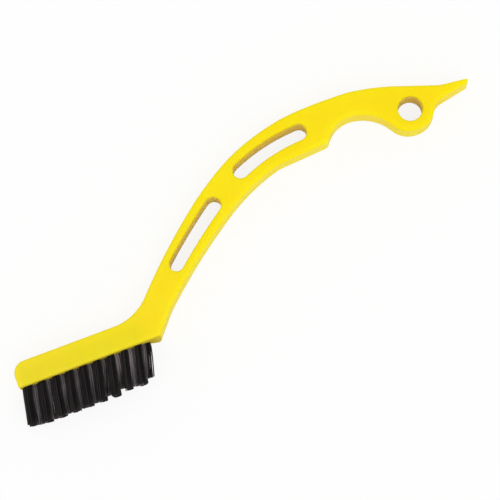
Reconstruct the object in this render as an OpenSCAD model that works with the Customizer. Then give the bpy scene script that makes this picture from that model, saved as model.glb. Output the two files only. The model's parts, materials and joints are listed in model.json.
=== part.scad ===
// Grout brush: one moulded handle with a brush block at its head, and tufts held by flat wire anchors.
// It lies on its side. X runs along the block from toe to heel, Y from the bristle tips towards the
// back of the block, and Z is the thickness. The origin is the middle of the block's lower side face.

/* [Brush block] */
// Length of the block along its underside
block_l = 58.7; // [54:0.1:75]
// Height of the block, from its underside to its back
block_h = 10.05; // [9.55:0.1:15.05]
// Thickness of the whole moulding
body_t = 16; // [15:0.5:24]
// Radius of the block's upper toe corner, seen from the side
toe_r = 4.5; // [2:0.1:6]
// Radius of the block's lower toe corner, seen from the side
toe_low_r = 1.2; // [0.5:0.1:1.2]
// Radius of the corner where the underside meets the neck
heel_r = 2.1; // [1:0.1:4]
// Rounding of the edges all round the two side faces
edge_r = 1.5; // [0.5:0.1:2]

/* [Tufts] */
// Columns of tufts along the block
tuft_cols = 9; // [3:1:9]
// Rows of tufts across the block
tuft_rows = 3; // [1:1:3]
// Distance from the toe to the first column
toe_margin = 3.7; // [3.7:0.1:7]
// Distance from the heel to the last column
heel_margin = 5.9; // [4:0.1:8]
// Distance between rows
row_pitch = 4.3; // [4:0.1:4.4]
// Length of the bristles below the block
trim_l = 15.1; // [8:0.1:30]
// Lean of the tufts towards the toe, in degrees
tuft_lean = 11.5; // [0:0.5:15]
// Diameter of a tuft hole
hole_d = 4.1; // [3:0.1:4.1]
// Depth of a tuft hole, without its drill point
hole_depth = 7; // [6:0.1:8]
// Diameter of a strand
strand_d = 0.7; // [0.4:0.05:0.7]
// Rings of strands round a tuft's middle strand
strand_rings = 2; // [1:1:2]
// How far a tuft opens along the block, tip width over root width
fan_x = 1.45; // [1:0.05:1.5]
// How far a tuft opens across the block, tip width over root width
fan_z = 1.15; // [1:0.05:1.2]
// Unevenness of the trimmed tips, up or down
tip_scatter = 0.35; // [0:0.05:0.6]

/* [Anchors] */
// Height of an anchor, along the tuft hole
anchor_w = 1.6; // [1.2:0.1:2]
// Thickness of the anchor wire
anchor_t = 0.4; // [0.3:0.05:0.5]
// How far each end of an anchor bites into the wall of its hole
anchor_bite = 0.3; // [0.2:0.05:0.4]
// Thickness of the folded filament behind an anchor
fold_wrap = 1.2; // [0.8:0.1:1.5]

/* [Handle line] */
// Start of the handle's centre line past the heel, along the block
neck_out = 4.2; // [3.5:0.1:7]
// Start of the centre line above the underside
neck_up = 12.95; // [11.95:0.1:15.05]
// Slope of the neck at that start, in degrees
neck_a = 45; // [40:0.5:50]
// Radius of the neck's slow bend
neck_r = 260; // [200:5:400]
// Length of the neck's slow bend
neck_l = 44; // [38:0.5:50]
// Radius of the palm's bend
palm_r = 92; // [85:0.5:110]
// Station where the back's curve ends, along the centre line
back_l = 129; // [126:0.5:131]
// Thickness of the neck at its root
root_t = 10.8; // [10:0.1:13]
// Thickness at the end of the neck
mid_t = 13.6; // [12.5:0.1:15]
// Thickness of the palm
palm_t = 14.8; // [13.5:0.1:17]
// Radius of the corner between the block's back and the neck
crook_r = 22; // [10:0.5:26]

/* [Slots] */
// Width of a slot
slot_w = 6.2; // [4.5:0.1:7]
// Length of a slot between the centres of its round ends
slot_l = 27.5; // [15:0.5:32]
// Station of the first slot's start
slot_1_at = 17.2; // [14:0.1:20]
// Station of the second slot's start
slot_2_at = 62.4; // [58:0.1:66]
// How far the second slot's start stands above the centre line
slot_2_rise = 0.4; // [0:0.1:1]
// How far the second slot's end hangs below the centre line
slot_2_drop = 0.7; // [0:0.1:1.5]
// Rounding of the rims of the slots and the hang hole
rim_r = 0.8; // [0.3:0.1:1.2]

/* [Finger notch] */
// Station where the palm's underside runs straight on
palm_l = 76; // [70:0.5:82]
// Station of the finger stop
stop_l = 99.5; // [96:0.5:101]
// How far the finger stop stands below the palm
stop_h = 1.35; // [0.5:0.05:3]
// Radius of the finger stop's nose
stop_r = 2.1; // [1.8:0.1:3]
// Rise of the notch's front wall along the handle
notch_lead = 5.3; // [4:0.1:7]
// Width of the notch's ceiling
notch_l = 16.3; // [14:0.1:19]
// Distance of the notch's ceiling below the centre line
notch_drop = 1.75; // [1:0.05:3]
// Radius of the notch's front
notch_front_r = 13; // [8:0.5:14]
// Radius of the notch's rear
notch_rear_r = 18.8; // [10:0.1:20]

/* [Tail] */
// Station of the hang hole
hang_l = 136; // [133:0.5:138]
// Distance of the hang hole below the centre line
hang_drop = 1.3; // [0:0.1:2]
// Diameter of the hang hole
hang_d = 9.5; // [6:0.1:10.5]
// Wall of the lobe below the hang hole
lobe_wall = 3.9; // [3:0.1:5]
// Half the width of the lobe's flat underside before its corners are rounded
lobe_half = 6; // [5:0.1:7]
// Radius of the lobe's corners
lobe_r = 11; // [7:0.5:13]
// Distance from the hang hole's centre to the root of the beak's underside
beak_root = 10.3; // [9.6:0.1:12]
// Drop of that root below the hang hole's centre
beak_root_drop = 1.5; // [0:0.1:3]
// Radius at the root of the beak's underside
beak_low_r = 7; // [4:0.5:9]
// Reach of the beak past the hang hole's centre
beak_l = 29.6; // [24:0.1:34]
// Rise of the beak's point above the hang hole's centre
beak_rise = 2.6; // [0:0.1:5]
// Reach of the corner where the back meets the beak
brow_l = 14.7; // [13:0.1:17]
// Rise of that corner above the hang hole's centre
brow_rise = 4.4; // [3.5:0.1:6]
// Radius of that corner
brow_r = 12; // [6:0.5:20]
// Radius of the beak's point
point_r = 0.75; // [0.6:0.05:1.5]

/* [Hidden] */
row_names = ["a", "b", "c"];

// Clearances
bore_fit = 0.1;
slit_fit = 0.03;
mouth_gap = 0.6;
tip_gap = 0.4;
overcut = 2;

// Angle of the drill's point
drill_a = 118;

// Largest share of a corner's radius that the rounding of its edge takes
edge_share = 0.85;

// Two points of an outline nearer than this are one point
same_point = 0.01;

// Seed of the unevenness of the first tuft; each tuft after it takes the next seed
scatter_seed = 7;

// Facets: the largest step along a curve and the largest turn in a corner
curve_step = 4;
turn_step = 9;
edge_steps = 4;
round_fn = 48;
strand_fn = 16;

degrees = 180 / PI;
heel_x = block_l / 2;
under_y = -block_h / 2;
back_y = block_h / 2;
line_start = [heel_x + neck_out, under_y + neck_up];
stagger = tuft_rows > 1 ? 0.5 : 0;
col_pitch = (block_l - toe_margin - heel_margin) / (tuft_cols - 1 + stagger);
anchor_l = hole_d + 2 * anchor_bite;
drill_point = hole_d / 2 / tan(drill_a / 2);
anchor_deep = hole_depth - fold_wrap;
strand_root = hole_d / 2 - bore_fit - strand_d / 2;
open_x = min(fan_x, (col_pitch - tip_gap - strand_d) / 2 / strand_root);

function tuft_name(r, c) = str("tuft_", row_names[r], c + 1);
function anchor_name(r, c) = str("anchor_", row_names[r], c + 1);
function row_z(r) = body_t / 2 + (r - (tuft_rows - 1) / 2) * row_pitch;
// Every second row is shifted by half a column
function col_x(r, c) = -block_l / 2 + toe_margin + (c + stagger * (r % 2)) * col_pitch;

// The centre line: a slow bend of radius neck_r, then one of radius palm_r
function heading(s) = neck_a - degrees * (min(s, neck_l) / neck_r + max(s - neck_l, 0) / palm_r);
function bend(r, a, b) = r * [sin(a) - sin(b), cos(b) - cos(a)];
function on_line(s) = line_start + bend(neck_r, neck_a, heading(min(s, neck_l)))
    + bend(palm_r, heading(min(s, neck_l)), heading(s));
function across(s) = [-sin(heading(s)), cos(heading(s))];
function beside(s, offset) = on_line(s) + offset * across(s);
function thickness(s) = lookup(s, [[0, root_t], [neck_l, mid_t], [stop_l, palm_t]]);
function stations(from, to) = let (n = ceil(abs(to - from) / curve_step))
    [for (i = [0:n]) from + (to - from) * i / n];

hang_at = beside(hang_l, -hang_drop);
crook_a = neck_a + atan((mid_t - root_t) / 2 / neck_l);
top_root = beside(0, root_t / 2);
crook = [top_root.x - (top_root.y - back_y) / tan(crook_a), back_y];

// Corners of the side view, anticlockwise from the toe, each [x, y, radius]
CORNERS = concat(
    [[-heel_x, under_y, toe_low_r], [heel_x, under_y, heel_r]],
    [for (s = stations(0, palm_l)) concat(beside(s, -thickness(s) / 2), 0)],
    [concat(beside(stop_l, -palm_t / 2 - stop_h), stop_r)],
    [concat(beside(stop_l + notch_lead, -notch_drop), notch_front_r)],
    [concat(beside(stop_l + notch_lead + notch_l, -notch_drop), notch_rear_r)],
    [for (side = [-1, 1]) concat(hang_at + [side * lobe_half, -hang_d / 2 - lobe_wall], lobe_r)],
    [concat(hang_at + [beak_root, -beak_root_drop], beak_low_r)],
    [concat(hang_at + [beak_l, beak_rise], point_r)],
    [concat(hang_at + [brow_l, brow_rise], brow_r)],
    [for (s = stations(back_l, 0)) concat(beside(s, thickness(s) / 2), 0)],
    [concat(crook, crook_r), [-heel_x, back_y, toe_r]]);

// An outline is a list of [x, y, outward x, outward y, edge rounding]
function unit(v) = v / norm(v);
function flat(p) = [p.x, p.y];
function turn(a, b) = a.x * b.y - a.y * b.x;
function half_angle(a, p, b) = acos(unit(a - p) * unit(b - p)) / 2;
function reach(v, i) = let (n = len(v), p = flat(v[i]))
    v[i].z == 0 ? 0 : v[i].z / tan(half_angle(flat(v[(i + n - 1) % n]), p, flat(v[(i + 1) % n])));
// A corner keeps its radius unless a side is too short for the two corners that share it
function share(v, i, j) = norm(flat(v[i]) - flat(v[j])) / (reach(v, i) + reach(v, j));
function corner(v, i) = let (
        n = len(v),
        before = (i + n - 1) % n,
        after = (i + 1) % n,
        p = flat(v[i]),
        a = unit(flat(v[before]) - p),
        b = unit(flat(v[after]) - p),
        side = turn(b, a) > 0 ? 1 : -1
    )
    v[i].z == 0
    ? let (out = unit([unit(a - b).y, -unit(a - b).x]) * -1) [[p.x, p.y, out.x, out.y, edge_r]]
    : let (
        r = v[i].z * min(1, share(v, i, before), share(v, i, after)),
        centre = p + unit(a + b) * r / sin(half_angle(flat(v[before]), p, flat(v[after]))),
        sweep = 180 - 2 * half_angle(flat(v[before]), p, flat(v[after])),
        first = p + a * sqrt(pow(norm(centre - p), 2) - r * r) - centre,
        steps = ceil(max(sweep / turn_step, 2)),
        start = atan2(first.y, first.x),
        e = side > 0 ? min(edge_r, edge_share * r) : edge_r
    )
    [for (k = [0:steps]) let (t = start + side * sweep * k / steps, d = [cos(t), sin(t)])
        [centre.x + r * d.x, centre.y + r * d.y, side * d.x, side * d.y, e]];
function outline(v) = let (all = [for (i = [0:len(v) - 1]) each corner(v, i)], n = len(all))
    [for (i = [0:n - 1]) if (norm(flat(all[i]) - flat(all[(i + n - 1) % n])) > same_point) all[i]];

// A slot follows the centre line, off it by offsets at its two ends, and has round ends
function slot_edge(from, offsets, s, side) = let (
        offset = lookup(s, [[from, offsets[0]], [from + slot_l, offsets[1]]]),
        p = beside(s, offset + side * slot_w / 2),
        d = side * across(s)
    )
    [p.x, p.y, d.x, d.y, rim_r];
function slot_end(s, offset, start) = let (p = beside(s, offset), r = slot_w / 2, half_turns = 6)
    [for (k = [1:half_turns * 2 - 1]) let (t = start + 90 * k / half_turns)
        [p.x + r * cos(t), p.y + r * sin(t), cos(t), sin(t), rim_r]];
function slot_outline(from, offsets) = let (to = from + slot_l) concat(
    [for (s = stations(from, to)) slot_edge(from, offsets, s, -1)],
    slot_end(to, offsets[1], heading(to) - 90),
    [for (s = stations(to, from)) slot_edge(from, offsets, s, 1)],
    slot_end(from, offsets[0], heading(from) + 90));

// Triangles that fill a simple outline, cut off one ear at a time
function span(a, b, c) = turn(b - a, c - a);
function holds(a, b, c, p) = span(a, b, p) >= 0 && span(b, c, p) >= 0 && span(c, a, p) >= 0;
function is_ear(p, ids, i) = let (
        n = len(ids),
        before = (i + n - 1) % n,
        after = (i + 1) % n,
        a = p[ids[before]],
        b = p[ids[i]],
        c = p[ids[after]]
    )
    span(a, b, c) > 0
    && len([for (j = [0:n - 1]) if (j != before && j != i && j != after && holds(a, b, c, p[ids[j]])) j]) == 0;
function next_ear(p, ids, i, left) = left == 0 || is_ear(p, ids, i) ? i
    : next_ear(p, ids, (i + 1) % len(ids), left - 1);
function ears(p, ids, done = [], from = 0) = let (n = len(ids))
    n == 3 ? concat(done, [ids])
    : let (i = next_ear(p, ids, from, n))
    ears(p, [for (j = [0:n - 1]) if (j != i) ids[j]],
        concat(done, [[ids[(i + n - 1) % n], ids[i], ids[(i + 1) % n]]]), i % (n - 1));

// A solid stacked from copies of an outline, each level [z, shift along the outward direction, both in
// shares of the point's own edge rounding, and a plain height]
module stack(points, levels) {
    n = len(points);
    rings = [for (level = levels) [for (q = points)
        [q[0] + q[2] * q[4] * level[1], q[1] + q[3] * q[4] * level[1], level[2] + q[4] * level[0]]]];
    last = (len(levels) - 1) * n;
    cap_low = ears([for (q = rings[0]) flat(q)], [for (i = [0:n - 1]) i]);
    cap_high = ears([for (q = rings[len(levels) - 1]) flat(q)], [for (i = [0:n - 1]) i]);
    sides = [for (k = [0:len(levels) - 2]) for (i = [0:n - 1]) let (a = k * n + i, b = k * n + (i + 1) % n)
        each [[a, a + n, b], [b, a + n, b + n]]];
    polyhedron([for (ring = rings) each ring],
        concat(cap_low, [for (t = cap_high) [t[2] + last, t[1] + last, t[0] + last]], sides));
}

// A plate whose side faces have rounded edges
module rounded_plate(points) {
    low = [for (k = [edge_steps:-1:0]) let (a = 90 * k / edge_steps) [1 - sin(a), cos(a) - 1, 0]];
    high = [for (k = [0:edge_steps]) let (a = 90 * k / edge_steps) [sin(a) - 1, cos(a) - 1, body_t]];
    stack(points, concat(low, high));
}

// A cutter that goes right through and rounds both rims
module rounded_cutter(points) {
    low = [for (k = [edge_steps:-1:0]) let (a = 90 * k / edge_steps) [1 - sin(a), 1 - cos(a), 0]];
    high = [for (k = [0:edge_steps]) let (a = 90 * k / edge_steps) [sin(a) - 1, 1 - cos(a), body_t]];
    stack(points, concat([[0, 1, -overcut]], low, high, [[0, 1, body_t + overcut]]));
}

module hang_hole() {
    translate([hang_at.x, hang_at.y, -overcut])
        cylinder(h = body_t + 2 * overcut, d = hang_d, $fn = round_fn);
    for (side = [0, 1])
        translate([hang_at.x, hang_at.y, side * body_t])
            mirror([0, 0, side])
                rotate_extrude($fn = round_fn)
                    difference() {
                        translate([0, -overcut])
                            square([hang_d / 2 + rim_r, overcut + rim_r]);
                        translate([hang_d / 2 + rim_r, rim_r])
                            circle(r = rim_r, $fn = round_fn);
                    }
}

// Places a child in a tuft hole: its mouth is at the origin and the hole runs along +Y
module in_hole(r, c) {
    translate([col_x(r, c), under_y, row_z(r)])
        rotate([0, 0, -tuft_lean])
            children();
}

module along_y() {
    rotate([-90, 0, 0])
        children();
}

module tuft_hole() {
    translate([0, -overcut, 0])
        along_y()
            cylinder(h = overcut + hole_depth, d = hole_d, $fn = round_fn);
    translate([0, hole_depth, 0])
        along_y()
            cylinder(h = drill_point, d1 = hole_d, d2 = 0, $fn = round_fn);
    translate([-anchor_l / 2, -overcut, -anchor_t / 2 - slit_fit])
        cube([anchor_l, overcut + anchor_deep, anchor_t + 2 * slit_fit]);
}

module handle() {
    color("gold")
        difference() {
            rounded_plate(outline(CORNERS));
            rounded_cutter(slot_outline(slot_1_at, [0, 0]));
            rounded_cutter(slot_outline(slot_2_at, [slot_2_rise, -slot_2_drop]));
            hang_hole();
            for (r = [0:tuft_rows - 1])
                for (c = [0:tuft_cols - 1])
                    in_hole(r, c)
                        tuft_hole();
        }
}

module rod(from, to, d) {
    v = to - from;
    translate(from)
        rotate([0, acos(v.z / norm(v)), atan2(v.y, v.x)])
            cylinder(h = norm(v), d = d, $fn = strand_fn);
}

// The folded bundle that fills the hole, open where the anchor crosses it
module tuft_fold() {
    r = hole_d / 2 - bore_fit;
    round = r / 2;
    difference() {
        along_y()
            rotate_extrude($fn = round_fn)
                polygon([[0, mouth_gap], [r, mouth_gap], [r, hole_depth - round], [r - round / 3, hole_depth - round / 3],
                    [r - round, hole_depth], [0, hole_depth]]);
        translate([-hole_d, anchor_deep - anchor_w - slit_fit, -anchor_t / 2 - slit_fit])
            cube([2 * hole_d, anchor_w + slit_fit, anchor_t + 2 * slit_fit]);
    }
}

module tuft(r, c) {
    strands = [[0, 0], for (ring = [1:strand_rings]) for (k = [0:6 * ring - 1])
        ring / strand_rings * strand_root * [cos(60 * k / ring), sin(60 * k / ring)]];
    scatter = rands(-tip_scatter, tip_scatter, len(strands), scatter_seed + tuft_cols * r + c);
    color("dimgray")
        in_hole(r, c) {
            tuft_fold();
            for (i = [0:len(strands) - 1]) {
                root = strands[i];
                drop = trim_l / cos(tuft_lean) + scatter[i];
                rod([root.x, mouth_gap + strand_d, root.y], [root.x * open_x, -drop, root.y * fan_z], strand_d);
            }
        }
}

module anchor(r, c) {
    color("silver")
        in_hole(r, c)
            translate([-anchor_l / 2, anchor_deep - anchor_w, -anchor_t / 2])
                cube([anchor_l, anchor_w, anchor_t]);
}

handle();
for (r = [0:tuft_rows - 1])
    for (c = [0:tuft_cols - 1]) {
        tuft(r, c);
        anchor(r, c);
    }
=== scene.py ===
import json
import math
import random

import bmesh
import bpy
from mathutils import Matrix, Vector

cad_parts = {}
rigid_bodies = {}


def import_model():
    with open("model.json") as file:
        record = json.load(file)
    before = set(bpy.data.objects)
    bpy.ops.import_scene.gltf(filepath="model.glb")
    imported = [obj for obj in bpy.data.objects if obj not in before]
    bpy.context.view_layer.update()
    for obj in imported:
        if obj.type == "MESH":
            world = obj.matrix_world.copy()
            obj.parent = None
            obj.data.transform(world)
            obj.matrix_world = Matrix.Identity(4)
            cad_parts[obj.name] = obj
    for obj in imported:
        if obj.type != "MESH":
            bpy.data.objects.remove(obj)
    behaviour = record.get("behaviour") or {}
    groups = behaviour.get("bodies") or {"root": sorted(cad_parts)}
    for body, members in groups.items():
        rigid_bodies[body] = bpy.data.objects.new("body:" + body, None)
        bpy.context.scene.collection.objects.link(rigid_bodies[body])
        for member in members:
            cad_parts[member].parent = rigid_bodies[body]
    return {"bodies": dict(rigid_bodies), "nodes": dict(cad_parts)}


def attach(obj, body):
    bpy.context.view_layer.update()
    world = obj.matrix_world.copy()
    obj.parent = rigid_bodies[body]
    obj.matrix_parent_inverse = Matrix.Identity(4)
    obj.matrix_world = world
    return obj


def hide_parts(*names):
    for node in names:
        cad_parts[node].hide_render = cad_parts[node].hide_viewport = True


# Looks and studio for the grout brush. Lengths are in millimetres up to the point where a mesh is made, and in
# metres in the materials.
MM = 0.001

# The part's own sizes, with the names and values of its source. The block and its tufts:
BLOCK_L = 58.7
BLOCK_H = 10.05
BODY_T = 16.0
EDGE_R = 1.5
EDGE_SHARE = 0.85
TUFT_COLS = 9
TUFT_ROWS = 3
TOE_MARGIN = 3.7
HEEL_MARGIN = 5.9
ROW_PITCH = 4.3
TRIM_L = 15.1
TUFT_LEAN = 11.5
HOLE_D = 4.1
HOLE_DEPTH = 7.0
DRILL_A = 118.0
# the neck and the palm, with their slots:
NECK_OUT = 4.2
NECK_UP = 12.95
NECK_A = 45.0
NECK_R = 260.0
NECK_L = 44.0
PALM_R = 92.0
BACK_L = 129.0
ROOT_T = 10.8
MID_T = 13.6
PALM_T = 14.8
CROOK_R = 22.0
SLOT_L = 27.5
SLOT_1_AT = 17.2
SLOT_2_AT = 62.4
SLOT_2_RISE = 0.4
SLOT_2_DROP = 0.7
RIM_R = 0.8
# the finger stop and the notch:
PALM_L = 76.0
STOP_L = 99.5
STOP_H = 1.35
STOP_R = 2.1
NOTCH_LEAD = 5.3
NOTCH_L = 16.3
NOTCH_DROP = 1.75
NOTCH_FRONT_R = 13.0
NOTCH_REAR_R = 18.8
# the tail, with its hang hole, lobe, beak and brow:
HANG_L = 136.0
HANG_DROP = 1.3
HANG_D = 9.5
LOBE_WALL = 3.9
LOBE_HALF = 6.0
LOBE_R = 11.0
BEAK_ROOT = 10.3
BEAK_ROOT_DROP = 1.5
BEAK_LOW_R = 7.0
BEAK_L = 29.6
BEAK_RISE = 2.6
BROW_L = 14.7
BROW_RISE = 4.4
BROW_R = 12.0
POINT_R = 0.75

# What follows from them
HEEL_X = BLOCK_L / 2
UNDER_Y = -BLOCK_H / 2
BACK_Y = BLOCK_H / 2
STAGGER = 0.5
COL_PITCH = (BLOCK_L - TOE_MARGIN - HEEL_MARGIN) / (TUFT_COLS - 1 + STAGGER)
ROW_NAMES = "abc"

# Fineness of the handle's mesh: lengths in millimetres, turns in degrees
SAME_POINT = 0.01
LEVEL = 1e-6
CURVE_STEP = 4.0
TURN_STEP = 4.0
EDGE_STEPS = 7
END_STEPS = 14
HOLE_STEPS = 64
MOUTH_STEPS = 28
MOUTH_EASE_STEPS = 3
NORMALS_WEIGHT = 80

# Where the photographed edges differ a little from the part's. The toe stands back. The heel's corner is
# sharper and hangs a little lower than the rest of the underside.
TOE_BACK = 0.2
TOE_CORNER = 0.7
TOE_TOP_R = 5.2
HEEL_CORNER = 1.5
LIP_AT = 25.9
LIP_DOWN = 0.7
# The neck's and the palm's edges stand proud by these amounts, each (place along the centre line, amount).
LOW_PROUD = ((0.0, 0.3), (62.0, 0.3), (76.0, 0.35))
TOP_PROUD = (
    (50.0, 0.0), (64.0, 0.5), (86.0, 0.45), (93.0, 0.15), (98.0, 0.0), (104.0, 0.0), (114.0, 0.6), (129.0, 0.6),
)
# The finger stop is deeper. The notch, the beak and the brow are higher, and the beak ends a little earlier.
STOP_DEEPER = 0.3
NOTCH_UP = (0.1, 0.4)
BEAK_UP = 0.3
BEAK_BACK = 0.15
BROW_UP = 0.4
# The hang hole and the lobe are further on. The hole is a little wider, and the lobe hangs lower.
HANG_ON = 0.3
HANG_WIDER = 0.3
LOBE_ON = 0.6
LOBE_DOWN = 0.25
# Each slot has its own width at either end. The second slot is higher and bends up between its ends.
SLOT_WIDTHS = ((5.9, 6.5), (6.5, 6.6))
SLOT_2_UP = 0.15
SLOT_2_BULGE = 0.25

# Witness line of the mould's two halves, and the eased mouths of the tuft holes
PARTING_DEEP = 0.07
PARTING_HALF = 0.14
PARTING_AT = (-3, -1, 0, 1, 3)
MOUTH_EASE = 0.1

# Filaments: their number in a tuft, and one filament's size and stops. Stops up to 0 are millimetres from the
# hole's mouth, and those above 0 are shares of the free length. A filament opens out as its length to the power
# FAN_EASE. It ends in a cap, whose height and radius are shares of the filament's radius.
FILAMENTS = 44
FILAMENT_R = 0.2
FILAMENT_SIDES = 6
FILAMENT_STOPS = (-5.2, -2.5, 0, 0.05, 0.12, 0.3, 0.5, 0.7, 0.87, 1.0)
FAN_EASE = 1.2
TIP_CAP_OUT = 0.35
TIP_CAP_R = 0.62

# For the outer rows, then for the middle row, column by column from the toe: how far a tuft leans aside just
# below its hole, how far its tips sway after that, how much longer or shorter it is, and the radius of its
# root. The lean aside is complete after a few times the length PUSH_WITHIN.
COLUMN_PUSH = ((-0.6, 0, 0, 0, 0, 0, 0, 0, 0), (0.3, 0.3, 0.3, 0.3, 0.3, 0.3, 0.4, 0.3, 0.4))
COLUMN_SWAY = (
    (0.3, 0.2, 0.3, 0.1, 0.2, -0.1, -0.1, -0.3, -0.2),
    (0.1, 0.4, 0.2, 0.3, 0.0, -1.2, -0.1, 0.1, -0.9),
)
COLUMN_LENGTH = (
    (-0.2, 0.45, 0.5, 0.4, 0.35, 0.4, 0.45, -0.4, -0.2),
    (0.5, 0.45, 0.4, 0.45, 0.2, -0.8, -1.6, -0.4, -1.7),
)
ROOT_RADIUS = ((1.86, 1.35, 1.35, 1.45, 1.4, 1.4, 1.45, 1.3, 1.4), (1.86,) * 9)
PUSH_WITHIN = 0.9

# A tuft's spread and trim: how much it opens along and across the rows, and how its tips slope (in degrees),
# dome and differ. A few filaments are strays, which open further.
FAN_ALONG = 1.1
FAN_ACROSS = 1.12
TIP_SLOPE = -7.0
TIP_SLOPE_SPREAD = 6.0
TIP_DOME = 0.06
TIP_UNEVEN = 0.5
STRAY_SHARE = 0.1
STRAY_FAN = 1.4

# How unlike each other tufts and filaments are: the most that a random draw adds or takes away. Each tuft has
# a seed of its own.
SEEDS_PER_ROW = 100
TUFT_SWAY = 0.1
TUFT_LIFT = 0.15
ROOT_TURN = 0.12
ROOT_SHIFT = 0.06
TIP_SHIFT_ALONG = 0.2
TIP_SHIFT_ACROSS = 0.14
BOW_ALONG = 0.14
BOW_ACROSS = 0.1

# Colours as seen on a screen, 0 to 255
YELLOW_LOW = (252, 224, 12)
YELLOW_HIGH = (254, 229, 20)
YELLOW_BLOCK = (244, 219, 48)
YELLOW_FLOW = (249, 217, 4)
# Painted shade: the block's underside between the bristles is darkened towards this colour
UNDERSIDE_SHADE = (170, 146, 40)
WIRE_LOW = (196, 190, 178)
WIRE_HIGH = (222, 218, 208)

# Linear colours of the filaments, by a random number for each: nearly all black, and the grey of painted light
# on the middle row
BLACK = ((0.0, (0.001, 0.001, 0.001)), (0.75, (0.006, 0.005, 0.004)), (1.0, (0.04, 0.032, 0.03)))
PAINTED_LIGHT_GREY = ((0.0, (0.06, 0.052, 0.056)), (0.6, (0.34, 0.298, 0.32)), (1.0, (0.75, 0.655, 0.71)))
GRAIN = (0.05, 0.045, 0.05, 1.0)
TIP_BLACK = (0.03, 0.026, 0.024, 1.0)
# How much painted light greys the middle row from the toe to the heel, by share of the block's length
PAINTED_LIGHT_ALONG = ((0.0, 0.5), (0.3, 0.4), (0.6, 0.42), (0.66, 0.6), (0.76, 0.8), (0.84, 1.0), (0.9, 0.5), (0.925, 0.0))

# Places in metres where a look fades in, each (none of it, all of it)
BLOCK_FADE_X = (0.06, -0.02)
# Where the painted shade on the block's underside fades in
UNDERSIDE_SHADE_FADE_Y = (-0.0043, -0.005)
MIDDLE_ROW_FADE_Z = (0.0025, 0.0018)
TIP_FADE_Y = (-0.0165, -0.0195)
# The painted light's strength changes from the block to the tips: the places, and the strengths there
PAINTED_LIGHT_FADE_Y = (-0.005, -0.0205)
PAINTED_LIGHT_LEVEL = (1.15, 0.5)

# Studio. The floor's size and the camera's clip are in metres.
FLOOR_SIZE = 6.0
FLOOR_GREY = (0.93, 0.93, 0.93, 1)
FLOOR_WHITE = 0.85
WHITE = (1, 1, 1, 1)
WORLD_LEVEL = 0.77
KEY_LEVEL = 0.81
KEY_FROM = (0.08, -0.38, 1.0)
KEY_ANGLE = 36
CAMERA_LOOKS_AT = (75.26, 14.725, 14.5)
CAMERA_FROM = (-0.018, -0.13, 1.0)
CAMERA_AWAY = 1204.0
IMAGE_UP = (0.3487, 0.9372, 0.0)
VIEW_WIDTH = 197.8
SENSOR = 36.0
CLIP = (0.05, 20)


# ---- the centre line and the side view, as in the part's source apart from the differences above
def heading(s):
    """The centre line's direction in degrees; s is the length along it from the neck's root."""
    return NECK_A - math.degrees(min(s, NECK_L) / NECK_R + max(s - NECK_L, 0) / PALM_R)


def bend(r, a, b):
    """The step along an arc of radius r that turns clockwise from direction a to direction b."""
    a, b = math.radians(a), math.radians(b)
    return Vector((math.sin(a) - math.sin(b), math.cos(b) - math.cos(a))) * r


def on_line(s):
    start = Vector((HEEL_X + NECK_OUT, UNDER_Y + NECK_UP))
    turn_at = heading(min(s, NECK_L))
    return start + bend(NECK_R, NECK_A, turn_at) + bend(PALM_R, turn_at, heading(s))


def across(s):
    a = math.radians(heading(s))
    return Vector((-math.sin(a), math.cos(a)))


def beside(s, offset):
    return on_line(s) + across(s) * offset


def thickness(s):
    if s <= NECK_L:
        return ROOT_T + (MID_T - ROOT_T) * max(s, 0) / NECK_L
    return MID_T + (PALM_T - MID_T) * min(s - NECK_L, STOP_L - NECK_L) / (STOP_L - NECK_L)


def proud(places, s):
    """The amount at one place along the centre line, between the two nearest in the list."""
    for (a, low), (b, high) in zip(places, places[1:]):
        if s <= b:
            return low + (high - low) * max(0, s - a) / (b - a)
    return places[-1][1]


def low_edge(s):
    return beside(s, -thickness(s) / 2 - proud(LOW_PROUD, s))


def top_edge(s):
    return beside(s, thickness(s) / 2 + proud(TOP_PROUD, s))


def stations(a, b):
    n = math.ceil(abs(b - a) / CURVE_STEP)
    return [a + (b - a) * i / n for i in range(n + 1)]


HANG_AT = beside(HANG_L, -HANG_DROP)


def corners():
    """Corners of the side view, anticlockwise from the toe, each (x, y, radius)."""
    crook_a = math.radians(NECK_A) + math.atan((MID_T - ROOT_T) / 2 / NECK_L)
    top_root = beside(0, ROOT_T / 2)
    toe_x = -HEEL_X + TOE_BACK
    found = [
        (toe_x, UNDER_Y, TOE_CORNER),
        (LIP_AT, UNDER_Y, 0),
        (HEEL_X, UNDER_Y - LIP_DOWN, HEEL_CORNER),
    ]
    found += [(*low_edge(s), 0) for s in stations(0, PALM_L)]
    found.append((*beside(STOP_L, -PALM_T / 2 - STOP_H - STOP_DEEPER), STOP_R))
    found.append((*beside(STOP_L + NOTCH_LEAD, NOTCH_UP[0] - NOTCH_DROP), NOTCH_FRONT_R))
    found.append((*beside(STOP_L + NOTCH_LEAD + NOTCH_L, NOTCH_UP[1] - NOTCH_DROP), NOTCH_REAR_R))
    for side in (-1, 1):
        x = HANG_AT.x + side * LOBE_HALF + LOBE_ON
        found.append((x, HANG_AT.y - HANG_D / 2 - LOBE_WALL - LOBE_DOWN, LOBE_R))
    found.append((HANG_AT.x + BEAK_ROOT, HANG_AT.y - BEAK_ROOT_DROP + BEAK_UP, BEAK_LOW_R))
    found.append((HANG_AT.x + BEAK_L - BEAK_BACK, HANG_AT.y + BEAK_RISE + BEAK_UP, POINT_R))
    found.append((HANG_AT.x + BROW_L, HANG_AT.y + BROW_RISE + BROW_UP, BROW_R))
    found += [(*top_edge(s), 0) for s in stations(BACK_L, 0)]
    found.append((top_root.x - (top_root.y - BACK_Y) / math.tan(crook_a), BACK_Y, CROOK_R))
    found.append((toe_x, BACK_Y, TOE_TOP_R))
    return found


def flat(p):
    return Vector(p[:2])


def half_angle(a, p, b):
    return (a - p).angle(b - p) / 2


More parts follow.
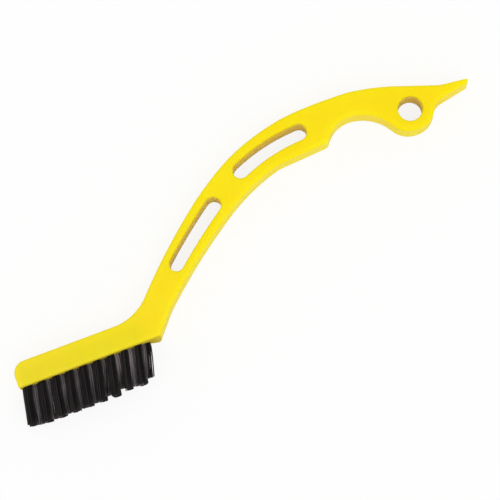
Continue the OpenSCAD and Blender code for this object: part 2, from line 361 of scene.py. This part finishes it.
def reach(v, i):
    """How far a corner's rounding reaches along its two sides."""
    if not v[i][2]:
        return 0
    around = half_angle(flat(v[i - 1]), flat(v[i]), flat(v[(i + 1) % len(v)]))
    return v[i][2] / math.tan(around)


def share(v, i, j):
    """The side between two corners, as a share of what their roundings need of it."""
    return (flat(v[i]) - flat(v[j])).length / (reach(v, i) + reach(v, j))


def corner(v, i):
    """The points of one corner, each (x, y, outward x, outward y, edge rounding)."""
    before, after = (i - 1) % len(v), (i + 1) % len(v)
    p = flat(v[i])
    a, b = (flat(v[before]) - p).normalized(), (flat(v[after]) - p).normalized()
    if not v[i][2]:
        d = (a - b).normalized()
        return [(p.x, p.y, -d.y, d.x, EDGE_R)]
    side = 1 if b.x * a.y - b.y * a.x > 0 else -1
    half = half_angle(flat(v[before]), p, flat(v[after]))
    r = v[i][2] * min(1, share(v, i, before), share(v, i, after))
    centre = p + (a + b).normalized() * r / math.sin(half)
    first = p + a * r / math.tan(half) - centre
    sweep = math.pi - 2 * half
    start = math.atan2(first.y, first.x)
    steps = math.ceil(max(math.degrees(sweep) / TURN_STEP, 2))
    rounding = min(EDGE_R, EDGE_SHARE * r) if side > 0 else EDGE_R
    made = []
    for k in range(steps + 1):
        t = start + side * sweep * k / steps
        c, s = math.cos(t), math.sin(t)
        made.append((centre.x + r * c, centre.y + r * s, side * c, side * s, rounding))
    return made


def side_view():
    """The outline, without the points that repeat the one before."""
    v = corners()
    found = [q for i in range(len(v)) for q in corner(v, i)]
    pairs = zip(found, found[-1:] + found)
    return [q for q, before in pairs if (flat(q) - flat(before)).length > SAME_POINT]


def round_end(p, r, turn):
    made = []
    for k in range(1, END_STEPS):
        t = math.radians(turn + 180 * k / END_STEPS)
        c, s = math.cos(t), math.sin(t)
        made.append((p.x + r * c, p.y + r * s, c, s, RIM_R))
    return made


def slot_view(start, offsets, widths, bulge=0.0):
    """A slot with round ends along the centre line; offsets and widths hold its values at its two ends."""
    end = start + SLOT_L

    def edge(s, side):
        f = (s - start) / SLOT_L
        offset = offsets[0] + (offsets[1] - offsets[0]) * f + bulge * math.sin(math.pi * f)
        half = (widths[0] + (widths[1] - widths[0]) * f) / 2
        return (*beside(s, offset + side * half), *(across(s) * side), RIM_R)

    made = [edge(s, -1) for s in stations(start, end)]
    made += round_end(beside(end, offsets[1]), widths[1] / 2, heading(end) - 90)
    made += [edge(s, 1) for s in stations(end, start)]
    return made + round_end(beside(start, offsets[0]), widths[0] / 2, heading(start) + 90)


def hang_view():
    made = []
    r = (HANG_D + HANG_WIDER) / 2
    for k in range(HOLE_STEPS):
        t = 2 * math.pi * k / HOLE_STEPS
        c, s = math.cos(t), math.sin(t)
        made.append((HANG_AT.x + HANG_ON + r * c, HANG_AT.y + r * s, c, s, RIM_R))
    return made


# ---- mesh helpers
def new_piece(name, mesh, material, replaced):
    piece = bpy.data.objects.new(name, mesh)
    bpy.context.scene.collection.objects.link(piece)
    mesh.materials.append(material)
    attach(piece, "root")
    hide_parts(*replaced)
    return piece


def ring(bm, points, shift, height):
    """A closed ring of vertices; shift and height take a point's own edge rounding."""
    made = []
    for x, y, nx, ny, e in points:
        made.append(bm.verts.new(Vector((x + nx * shift(e), y + ny * shift(e), height(e))) * MM))
    return made


def strip(bm, a, b, skip=None):
    """Faces between two rings, without the one that starts at the point skip."""
    for i in range(len(a)):
        j = (i + 1) % len(a)
        if i != skip:
            bm.faces.new((a[i], a[j], b[j], b[i]))


def loop_edges(bm, verts):
    found = []
    for i, v in enumerate(verts):
        w = verts[(i + 1) % len(verts)]
        found.append(bm.edges.get((v, w)) or bm.edges.new((v, w)))
    return found


def fill(bm, loops, normal):
    edges = [e for loop in loops for e in loop_edges(bm, loop)]
    bmesh.ops.triangle_fill(bm, use_beauty=True, edges=edges, normal=normal)


def wall(bm, points, out, parting=()):
    """Rings up a wall with rounded edges: out is 1 for an outer edge and -1 for the rim of an opening.

    The parting line's rings are each (height, depth).
    """
    rings = []
    turns = [math.pi / 2 * k / EDGE_STEPS for k in range(EDGE_STEPS + 1)]
    for a in reversed(turns):
        rings.append(ring(bm, points, lambda e: out * e * (math.cos(a) - 1), lambda e: e * (1 - math.sin(a))))
    for z, deep in parting:
        rings.append(ring(bm, points, lambda e: -deep, lambda e: z))
    for a in turns:
        rings.append(
            ring(bm, points, lambda e: out * e * (math.cos(a) - 1), lambda e: BODY_T - e * (1 - math.sin(a)))
        )
    return rings


def hole_frame(row, col):
    """Mouth, inward direction and the direction along the row that is square to it, for one tuft hole."""
    lean = math.radians(TUFT_LEAN)
    x = -BLOCK_L / 2 + TOE_MARGIN + (col + STAGGER * (row % 2)) * COL_PITCH
    mouth = Vector((x, UNDER_Y, BODY_T / 2))
    mouth.z += (row - (TUFT_ROWS - 1) / 2) * ROW_PITCH
    return mouth, Vector((math.sin(lean), math.cos(lean), 0)), Vector((math.cos(lean), -math.sin(lean), 0))


def tuft_hole(bm, row, col):
    """One blind hole from its eased mouth to its drill point; returns the mouth's ring."""
    mouth, inward, side = hole_frame(row, col)
    r = HOLE_D / 2
    tan_lean = math.tan(math.radians(TUFT_LEAN))
    levels = []
    for k in range(MOUTH_EASE_STEPS + 1):
        a = math.pi / 2 * k / MOUTH_EASE_STEPS
        levels.append((r + MOUTH_EASE * (1 - math.sin(a)), MOUTH_EASE * (1 - math.cos(a)), True))
    levels.append((r, HOLE_DEPTH, False))
    rings = []
    for radius, deep, slanted in levels:
        made = []
        for i in range(MOUTH_STEPS):
            t = 2 * math.pi * i / MOUTH_STEPS
            depth = deep + (radius * math.cos(t) * tan_lean if slanted else 0)
            p = mouth + side * radius * math.cos(t) + Vector((0, 0, radius * math.sin(t))) + inward * depth
            made.append(bm.verts.new(p * MM))
        rings.append(made)
    for a, b in zip(rings, rings[1:]):
        strip(bm, a, b)
    point = bm.verts.new((mouth + inward * (HOLE_DEPTH + r / math.tan(math.radians(DRILL_A / 2)))) * MM)
    last = rings[-1]
    for i in range(MOUTH_STEPS):
        bm.faces.new((last[i], last[(i + 1) % MOUTH_STEPS], point))
    return rings[0]


def underside_index(points):
    """The outline's straight stretch along the block's underside starts at this point."""
    for i, q in enumerate(points):
        after = points[(i + 1) % len(points)]
        level = abs(q[1] - UNDER_Y) < LEVEL and abs(after[1] - UNDER_Y) < LEVEL
        if level and after[0] - q[0] > BLOCK_L / 2:
            return i
    raise ValueError("no straight underside in the outline")


def handle_mesh():
    """The handle as one closed surface: side wall, two faces, slots, hang hole and 27 blind tuft holes."""
    bm = bmesh.new()
    points = side_view()
    under = underside_index(points)
    heel = (under + 1) % len(points)
    half = BODY_T / 2
    parting = [(half + k * PARTING_HALF, 0 if k else PARTING_DEEP) for k in PARTING_AT]
    rings = wall(bm, points, 1, parting)
    flat_from, flat_to = EDGE_STEPS, len(rings) - 1 - EDGE_STEPS
    for k, (a, b) in enumerate(zip(rings, rings[1:])):
        strip(bm, a, b, under if flat_from <= k < flat_to else None)
    flats = rings[flat_from:flat_to + 1]
    for r in flats:
        for i in (under, heel):
            r[i].co.y = UNDER_Y * MM
    mouths = [tuft_hole(bm, row, col) for row in range(TUFT_ROWS) for col in range(TUFT_COLS)]
    border = [r[heel] for r in flats] + [r[under] for r in reversed(flats)]
    fill(bm, [border, *mouths], (0, -1, 0))
    offsets = (SLOT_2_RISE + SLOT_2_UP, SLOT_2_UP - SLOT_2_DROP)
    views = [
        slot_view(SLOT_1_AT, (0, 0), SLOT_WIDTHS[0]),
        slot_view(SLOT_2_AT, offsets, SLOT_WIDTHS[1], SLOT_2_BULGE),
        hang_view(),
    ]
    openings = [wall(bm, view, -1) for view in views]
    for opening in openings:
        for a, b in zip(opening, opening[1:]):
            strip(bm, a, b)
    fill(bm, [rings[0], *[o[0] for o in openings]], (0, 0, -1))
    fill(bm, [rings[-1], *[o[-1] for o in openings]], (0, 0, 1))
    bmesh.ops.recalc_face_normals(bm, faces=bm.faces)
    mesh = bpy.data.meshes.new("handle_moulding")
    bm.to_mesh(mesh)
    bm.free()
    for p in mesh.polygons:
        p.use_smooth = True
    return mesh


# ---- filaments
def packed_points(count, radius, rng):
    """Points spread over a disc like a sunflower's seeds, a little disturbed."""
    made = []
    golden = math.pi * (3 - math.sqrt(5))
    for i in range(count):
        r = radius * math.sqrt((i + 0.5) / count)
        t = i * golden + rng.uniform(-ROOT_TURN, ROOT_TURN)
        r = min(radius, r + rng.uniform(-ROOT_SHIFT, ROOT_SHIFT))
        made.append((r * math.cos(t), r * math.sin(t)))
    return made


def tube_faces(faces, was, now):
    """Faces between two rings of a filament, each given by its first vertex."""
    for i in range(FILAMENT_SIDES):
        j = (i + 1) % FILAMENT_SIDES
        faces.append((was + i, was + j, now + j, now + i))


def filament(root, side, mouth, inward, length, tip, bow, push, verts, faces):
    """One filament: a slender tube from inside the hole to its trimmed tip."""
    up = Vector((0, 0, 1))
    turns = [2 * math.pi * i / FILAMENT_SIDES for i in range(FILAMENT_SIDES)]
    spokes = [side * math.cos(a) + up * math.sin(a) for a in turns]
    first = len(verts)
    for k, s in enumerate(FILAMENT_STOPS):
        along = s if s <= 0 else s * length
        t = max(s, 0)
        ease = t ** FAN_EASE
        x = root[0] + (tip[0] - root[0]) * ease + bow[0] * math.sin(math.pi * t)
        x += push * (1 - math.exp(-t * length / PUSH_WITHIN))
        z = root[1] + (tip[1] - root[1]) * ease + bow[1] * math.sin(math.pi * t)
        centre = mouth + side * x + up * z - inward * along
        verts += [(centre + spoke * FILAMENT_R) * MM for spoke in spokes]
        if k:
            now = first + k * FILAMENT_SIDES
            tube_faces(faces, now - FILAMENT_SIDES, now)
    faces.append(tuple(first + i for i in reversed(range(FILAMENT_SIDES))))
    cap = len(verts)
    for spoke in spokes:
        p = centre - inward * FILAMENT_R * TIP_CAP_OUT + spoke * FILAMENT_R * TIP_CAP_R
        verts.append(p * MM)
    tube_faces(faces, cap - FILAMENT_SIDES, cap)
    faces.append(tuple(cap + i for i in range(FILAMENT_SIDES)))


def tuft_piece(row, col, material):
    rng = random.Random(SEEDS_PER_ROW * row + col)
    kind = row % 2
    mouth, inward, side = hole_frame(row, col)
    sway = COLUMN_SWAY[kind][col] + rng.uniform(-TUFT_SWAY, TUFT_SWAY)
    lift = rng.uniform(-TUFT_LIFT, TUFT_LIFT)
    slope = math.tan(math.radians(TIP_SLOPE + rng.uniform(-1, 1) * TIP_SLOPE_SPREAD))
    base = TRIM_L / math.cos(math.radians(TUFT_LEAN)) + COLUMN_LENGTH[kind][col]
    verts, faces = [], []
    for x, z in packed_points(FILAMENTS, ROOT_RADIUS[kind][col], rng):
        stray = 1.0 if rng.random() > STRAY_SHARE else STRAY_FAN
        tip_x = x * FAN_ALONG * stray + sway + rng.uniform(-TIP_SHIFT_ALONG, TIP_SHIFT_ALONG)
        tip_z = z * FAN_ACROSS * stray + lift + rng.uniform(-TIP_SHIFT_ACROSS, TIP_SHIFT_ACROSS)
        length = base + slope * tip_x - TIP_DOME * (x * x + z * z) - TIP_UNEVEN * rng.random() ** 2
        bow = (rng.uniform(-BOW_ALONG, BOW_ALONG), rng.uniform(-BOW_ACROSS, BOW_ACROSS))
        push = COLUMN_PUSH[kind][col]
        filament((x, z), side, mouth, inward, length, (tip_x, tip_z), bow, push, verts, faces)
    name = f"{ROW_NAMES[row]}{col + 1}"
    mesh = bpy.data.meshes.new("filaments_" + name)
    mesh.from_pydata(verts, [], faces)
    mesh.validate()
    for p in mesh.polygons:
        p.use_smooth = len(p.vertices) == 4
    new_piece("filaments_" + name, mesh, material, ["tuft_" + name])


# ---- materials
class Graph:
    """A short way to build a node material."""

    def __init__(self, name):
        self.material = bpy.data.materials.new(name)
        self.material.use_nodes = True
        self.tree = self.material.node_tree
        self.tree.nodes.clear()
        self.out = self.add("ShaderNodeOutputMaterial")

    def add(self, kind, inputs=None, **settings):
        node = self.tree.nodes.new(kind)
        for key, value in settings.items():
            setattr(node, key, value)
        for key, value in (inputs or {}).items():
            self.put(node.inputs[key], value)
        return node

    def put(self, socket, value):
        if isinstance(value, bpy.types.NodeSocket):
            self.tree.links.new(value, socket)
        else:
            socket.default_value = value

    def position(self):
        return self.add("ShaderNodeTexCoord").outputs["Object"]

    def axes(self, coords):
        return self.add("ShaderNodeSeparateXYZ", {0: coords}).outputs

    def stretched(self, coords, by):
        return self.add("ShaderNodeVectorMath", {0: coords, 1: by}, operation="MULTIPLY").outputs[0]

    def noise(self, coords, scale, detail=2.0, rough=0.5):
        inputs = {"Vector": coords, "Scale": scale, "Detail": detail, "Roughness": rough}
        return self.add("ShaderNodeTexNoise", inputs).outputs["Fac"]

    def ramp(self, value, *stops):
        """Each stop is (place, grey level) or (place, linear colour)."""
        node = self.add("ShaderNodeValToRGB", {"Fac": value})
        elements = node.color_ramp.elements
        while len(elements) < len(stops):
            elements.new(0.5)
        for element, (at, colour) in zip(elements, stops):
            element.position = at
            element.color = (*colour, 1) if hasattr(colour, "__len__") else (colour, colour, colour, 1)
        return node.outputs["Color"]

    def fade(self, value, start, end, low=0.0, high=1.0):
        """From low at start to high at end, and level beyond both."""
        inputs = {"Value": value, "From Min": start, "From Max": end, "To Min": low, "To Max": high}
        return self.add("ShaderNodeMapRange", inputs).outputs[0]

    def math(self, operation, a, b=0.0, c=0.0, clamp=False):
        node = self.add("ShaderNodeMath", {0: a, 1: b, 2: c}, operation=operation, use_clamp=clamp)
        return node.outputs[0]

    def mix(self, factor, a, b):
        node = self.add("ShaderNodeMix", data_type="RGBA")
        self.put(node.inputs["Factor"], factor)
        self.put(node.inputs[6], a)
        self.put(node.inputs[7], b)
        return node.outputs[2]

    def tinted(self, body, mask, amount, colour):
        return self.mix(self.math("MULTIPLY", mask, amount), body, colour)

    def bump(self, height, distance, strength, under=None):
        node = self.add("ShaderNodeBump", {"Height": height, "Distance": distance, "Strength": strength})
        if under is not None:
            self.put(node.inputs["Normal"], under)
        return node.outputs["Normal"]

    def finish(self, shader):
        self.tree.links.new(shader.outputs[0], self.out.inputs["Surface"])
        return self.material


def rgb(r, g, b):
    """A colour as seen on a screen, 0 to 255, as the linear one that Blender takes."""
    made = []
    for c in (r, g, b):
        c /= 255
        made.append(c / 12.92 if c <= 0.04045 else ((c + 0.055) / 1.055) ** 2.4)
    return (*made, 1.0)


def moulding_material():
    """Satin yellow moulding: a slow drift of colour, flow marks, a fine skin and painted shade on the
    underside.
    """
    g = Graph("moulded_yellow")
    at = g.position()
    place = g.axes(at)
    drift = g.ramp(g.noise(at, 28, 3), (0.35, 0.0), (0.65, 1.0))
    block = g.fade(place["X"], *BLOCK_FADE_X)
    under = g.fade(place["Y"], *UNDERSIDE_SHADE_FADE_Y)
    flow = g.noise(at, 220, 4, 0.6)
    skin = g.noise(at, 3200, 3, 0.6)
    pitted = g.noise(at, 900, 2)
    body = g.mix(drift, rgb(*YELLOW_LOW), rgb(*YELLOW_HIGH))
    body = g.tinted(body, block, 0.8, rgb(*YELLOW_BLOCK))
    body = g.tinted(body, g.ramp(flow, (0.45, 0.0), (0.75, 1.0)), 0.3, rgb(*YELLOW_FLOW))
    # Painted shade, darkening the block's underside where the bristles shade it
    body = g.tinted(body, under, 0.7, rgb(*UNDERSIDE_SHADE))
    rough = g.math("MULTIPLY_ADD", skin, 0.16, 0.4)
    rough = g.math("ADD", rough, g.math("MULTIPLY", g.ramp(flow, (0.5, 0.0), (0.8, 1.0)), 0.08))
    rough = g.math("MAXIMUM", rough, g.math("MULTIPLY", under, 0.8))
    normal = g.bump(pitted, 0.00003, 0.25)
    normal = g.bump(skin, 0.00002, 0.35, normal)
    shader = g.add("ShaderNodeBsdfPrincipled", {
        "Base Color": body, "Roughness": rough, "Normal": normal, "IOR": 1.49, "Specular IOR Level": 0.1,
        "Subsurface Weight": 0.6, "Subsurface Scale": 0.005, "Subsurface Radius": (1.0, 0.85, 0.15),
    })
    return g.finish(shader)


def bristle_material():
    """Black filaments. Those of the middle row are greyed in places by painted light, less so towards their
    tips.
    """
    g = Graph("black_filament")
    at = g.position()
    place = g.axes(at)
    each = g.add("ShaderNodeNewGeometry").outputs["Random Per Island"]
    off_middle = g.math("ABSOLUTE", g.math("SUBTRACT", place["Z"], BODY_T / 2 * MM))
    inner = g.fade(off_middle, *MIDDLE_ROW_FADE_Z)
    root = g.math("MULTIPLY_ADD", place["Y"], -math.tan(math.radians(TUFT_LEAN)), place["X"])
    # Painted light: the middle row is greyed where light shows between the near row's tufts, most towards the
    # heel
    painted_light = g.ramp(g.math("MULTIPLY_ADD", root, 1 / (BLOCK_L * MM), 0.5), *PAINTED_LIGHT_ALONG)
    painted_light = g.math("MULTIPLY", painted_light, g.fade(place["Y"], *PAINTED_LIGHT_FADE_Y, *PAINTED_LIGHT_LEVEL))
    painted_light = g.math("MULTIPLY", painted_light, g.math("MULTIPLY", g.noise(at, 170, 3, 0.6), 2.0))
    painted_light = g.math("MULTIPLY", inner, painted_light, clamp=True)
    grain = g.noise(g.stretched(at, (6.0, 0.6, 6.0)), 900, 2)
    tip = g.fade(place["Y"], *TIP_FADE_Y)
    # Painted light, mixed in as grey over the black filaments
    body = g.mix(painted_light, g.ramp(each, *BLACK), g.ramp(each, *PAINTED_LIGHT_GREY))
    body = g.tinted(body, grain, 0.15, GRAIN)
    body = g.tinted(body, tip, 0.2, TIP_BLACK)
    rough = g.math("MULTIPLY_ADD", each, 0.15, 0.4)
    rough = g.math("ADD", rough, g.math("MULTIPLY", tip, 0.2))
    shader = g.add("ShaderNodeBsdfPrincipled", {
        "Base Color": body, "Roughness": rough, "Normal": g.bump(grain, 0.00002, 0.4),
        "IOR": 1.53, "Specular IOR Level": 0.12,
    })
    return g.finish(shader)


def anchor_material():
    """Drawn wire, with lines along it."""
    g = Graph("drawn_wire")
    lines = g.noise(g.stretched(g.position(), (0.05, 1.0, 1.0)), 6000, 3)
    body = g.mix(lines, rgb(*WIRE_LOW), rgb(*WIRE_HIGH))
    shader = g.add("ShaderNodeBsdfPrincipled", {
        "Base Color": body, "Metallic": 1.0, "Roughness": g.math("MULTIPLY_ADD", lines, 0.2, 0.25),
        "Normal": g.bump(lines, 0.00001, 0.3),
    })
    return g.finish(shader)


# ---- studio
def add_floor():
    """White paper: it shows one even white to the camera, and takes and gives light as paper does."""
    mesh = bpy.data.meshes.new("floor")
    h = FLOOR_SIZE / 2
    mesh.from_pydata([(-h, -h, 0), (h, -h, 0), (h, h, 0), (-h, h, 0)], [], [(0, 1, 2, 3)])
    floor = bpy.data.objects.new("floor", mesh)
    bpy.context.scene.collection.objects.link(floor)
    g = Graph("white_paper")
    diffuse = g.add("ShaderNodeBsdfDiffuse", {"Color": FLOOR_GREY})
    path = g.add("ShaderNodeLightPath")
    seen = g.math("MAXIMUM", path.outputs["Is Camera Ray"], path.outputs["Is Glossy Ray"])
    seen = g.math("MAXIMUM", seen, path.outputs["Is Transmission Ray"])
    white = g.add("ShaderNodeEmission", {"Color": WHITE, "Strength": 1.0})
    share_seen = g.math("MULTIPLY", seen, FLOOR_WHITE)
    both = g.add("ShaderNodeMixShader", {0: share_seen, 1: diffuse.outputs[0], 2: white.outputs[0]})
    mesh.materials.append(g.finish(both))


def add_world():
    """Plain white all around: at full strength to the camera, and dimmer as light."""
    world = bpy.data.worlds.new("studio")
    bpy.context.scene.world = world
    world.use_nodes = True
    tree = world.node_tree
    tree.nodes.clear()
    out = tree.nodes.new("ShaderNodeOutputWorld")
    lit, seen = tree.nodes.new("ShaderNodeBackground"), tree.nodes.new("ShaderNodeBackground")
    lit.inputs["Strength"].default_value = WORLD_LEVEL
    for node in (lit, seen):
        node.inputs["Color"].default_value = WHITE
    path = tree.nodes.new("ShaderNodeLightPath")
    mix = tree.nodes.new("ShaderNodeMixShader")
    tree.links.new(path.outputs["Is Camera Ray"], mix.inputs[0])
    tree.links.new(lit.outputs[0], mix.inputs[1])
    tree.links.new(seen.outputs[0], mix.inputs[2])
    tree.links.new(mix.outputs[0], out.inputs["Surface"])


def add_key():
    lamp = bpy.data.lights.new("key", "SUN")
    lamp.energy = KEY_LEVEL
    lamp.angle = math.radians(KEY_ANGLE)
    o = bpy.data.objects.new("key", lamp)
    bpy.context.scene.collection.objects.link(o)
    o.rotation_mode = "QUATERNION"
    o.rotation_quaternion = Vector(KEY_FROM).to_track_quat("Z", "Y")


def add_camera():
    """The photograph's view: from above the side face, with the handle's slant in the picture."""
    data = bpy.data.cameras.new("camera")
    data.sensor_width = SENSOR
    data.lens = SENSOR * CAMERA_AWAY / VIEW_WIDTH
    data.clip_start, data.clip_end = CLIP
    o = bpy.data.objects.new("camera", data)
    bpy.context.scene.collection.objects.link(o)
    back = Vector(CAMERA_FROM).normalized()
    up = Vector(IMAGE_UP)
    up = (up - back * up.dot(back)).normalized()
    right = up.cross(back)
    place = (Vector(CAMERA_LOOKS_AT) + back * CAMERA_AWAY) * MM
    turn = Matrix((right, up, back)).transposed().to_4x4()
    o.matrix_world = Matrix.Translation(place) @ turn
    bpy.context.scene.camera = o


def remove_startup_objects(keep):
    for o in list(bpy.data.objects):
        if o.name not in keep:
            bpy.data.objects.remove(o, do_unlink=True)


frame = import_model()
remove_startup_objects({*frame["nodes"], *[e.name for e in frame["bodies"].values()]})
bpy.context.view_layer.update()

add_floor()
add_world()
add_key()
add_camera()
bpy.context.scene.view_settings.view_transform = "Standard"

handle = new_piece("handle_moulding", handle_mesh(), moulding_material(), ["handle"])
even = handle.modifiers.new("even_normals", "WEIGHTED_NORMAL")
even.weight = NORMALS_WEIGHT
black = bristle_material()
for row in range(TUFT_ROWS):
    for col in range(TUFT_COLS):
        tuft_piece(row, col, black)
wire = anchor_material()
for name, node in frame["nodes"].items():
    if name.startswith("anchor_"):
        node.material_slots[0].material = wire
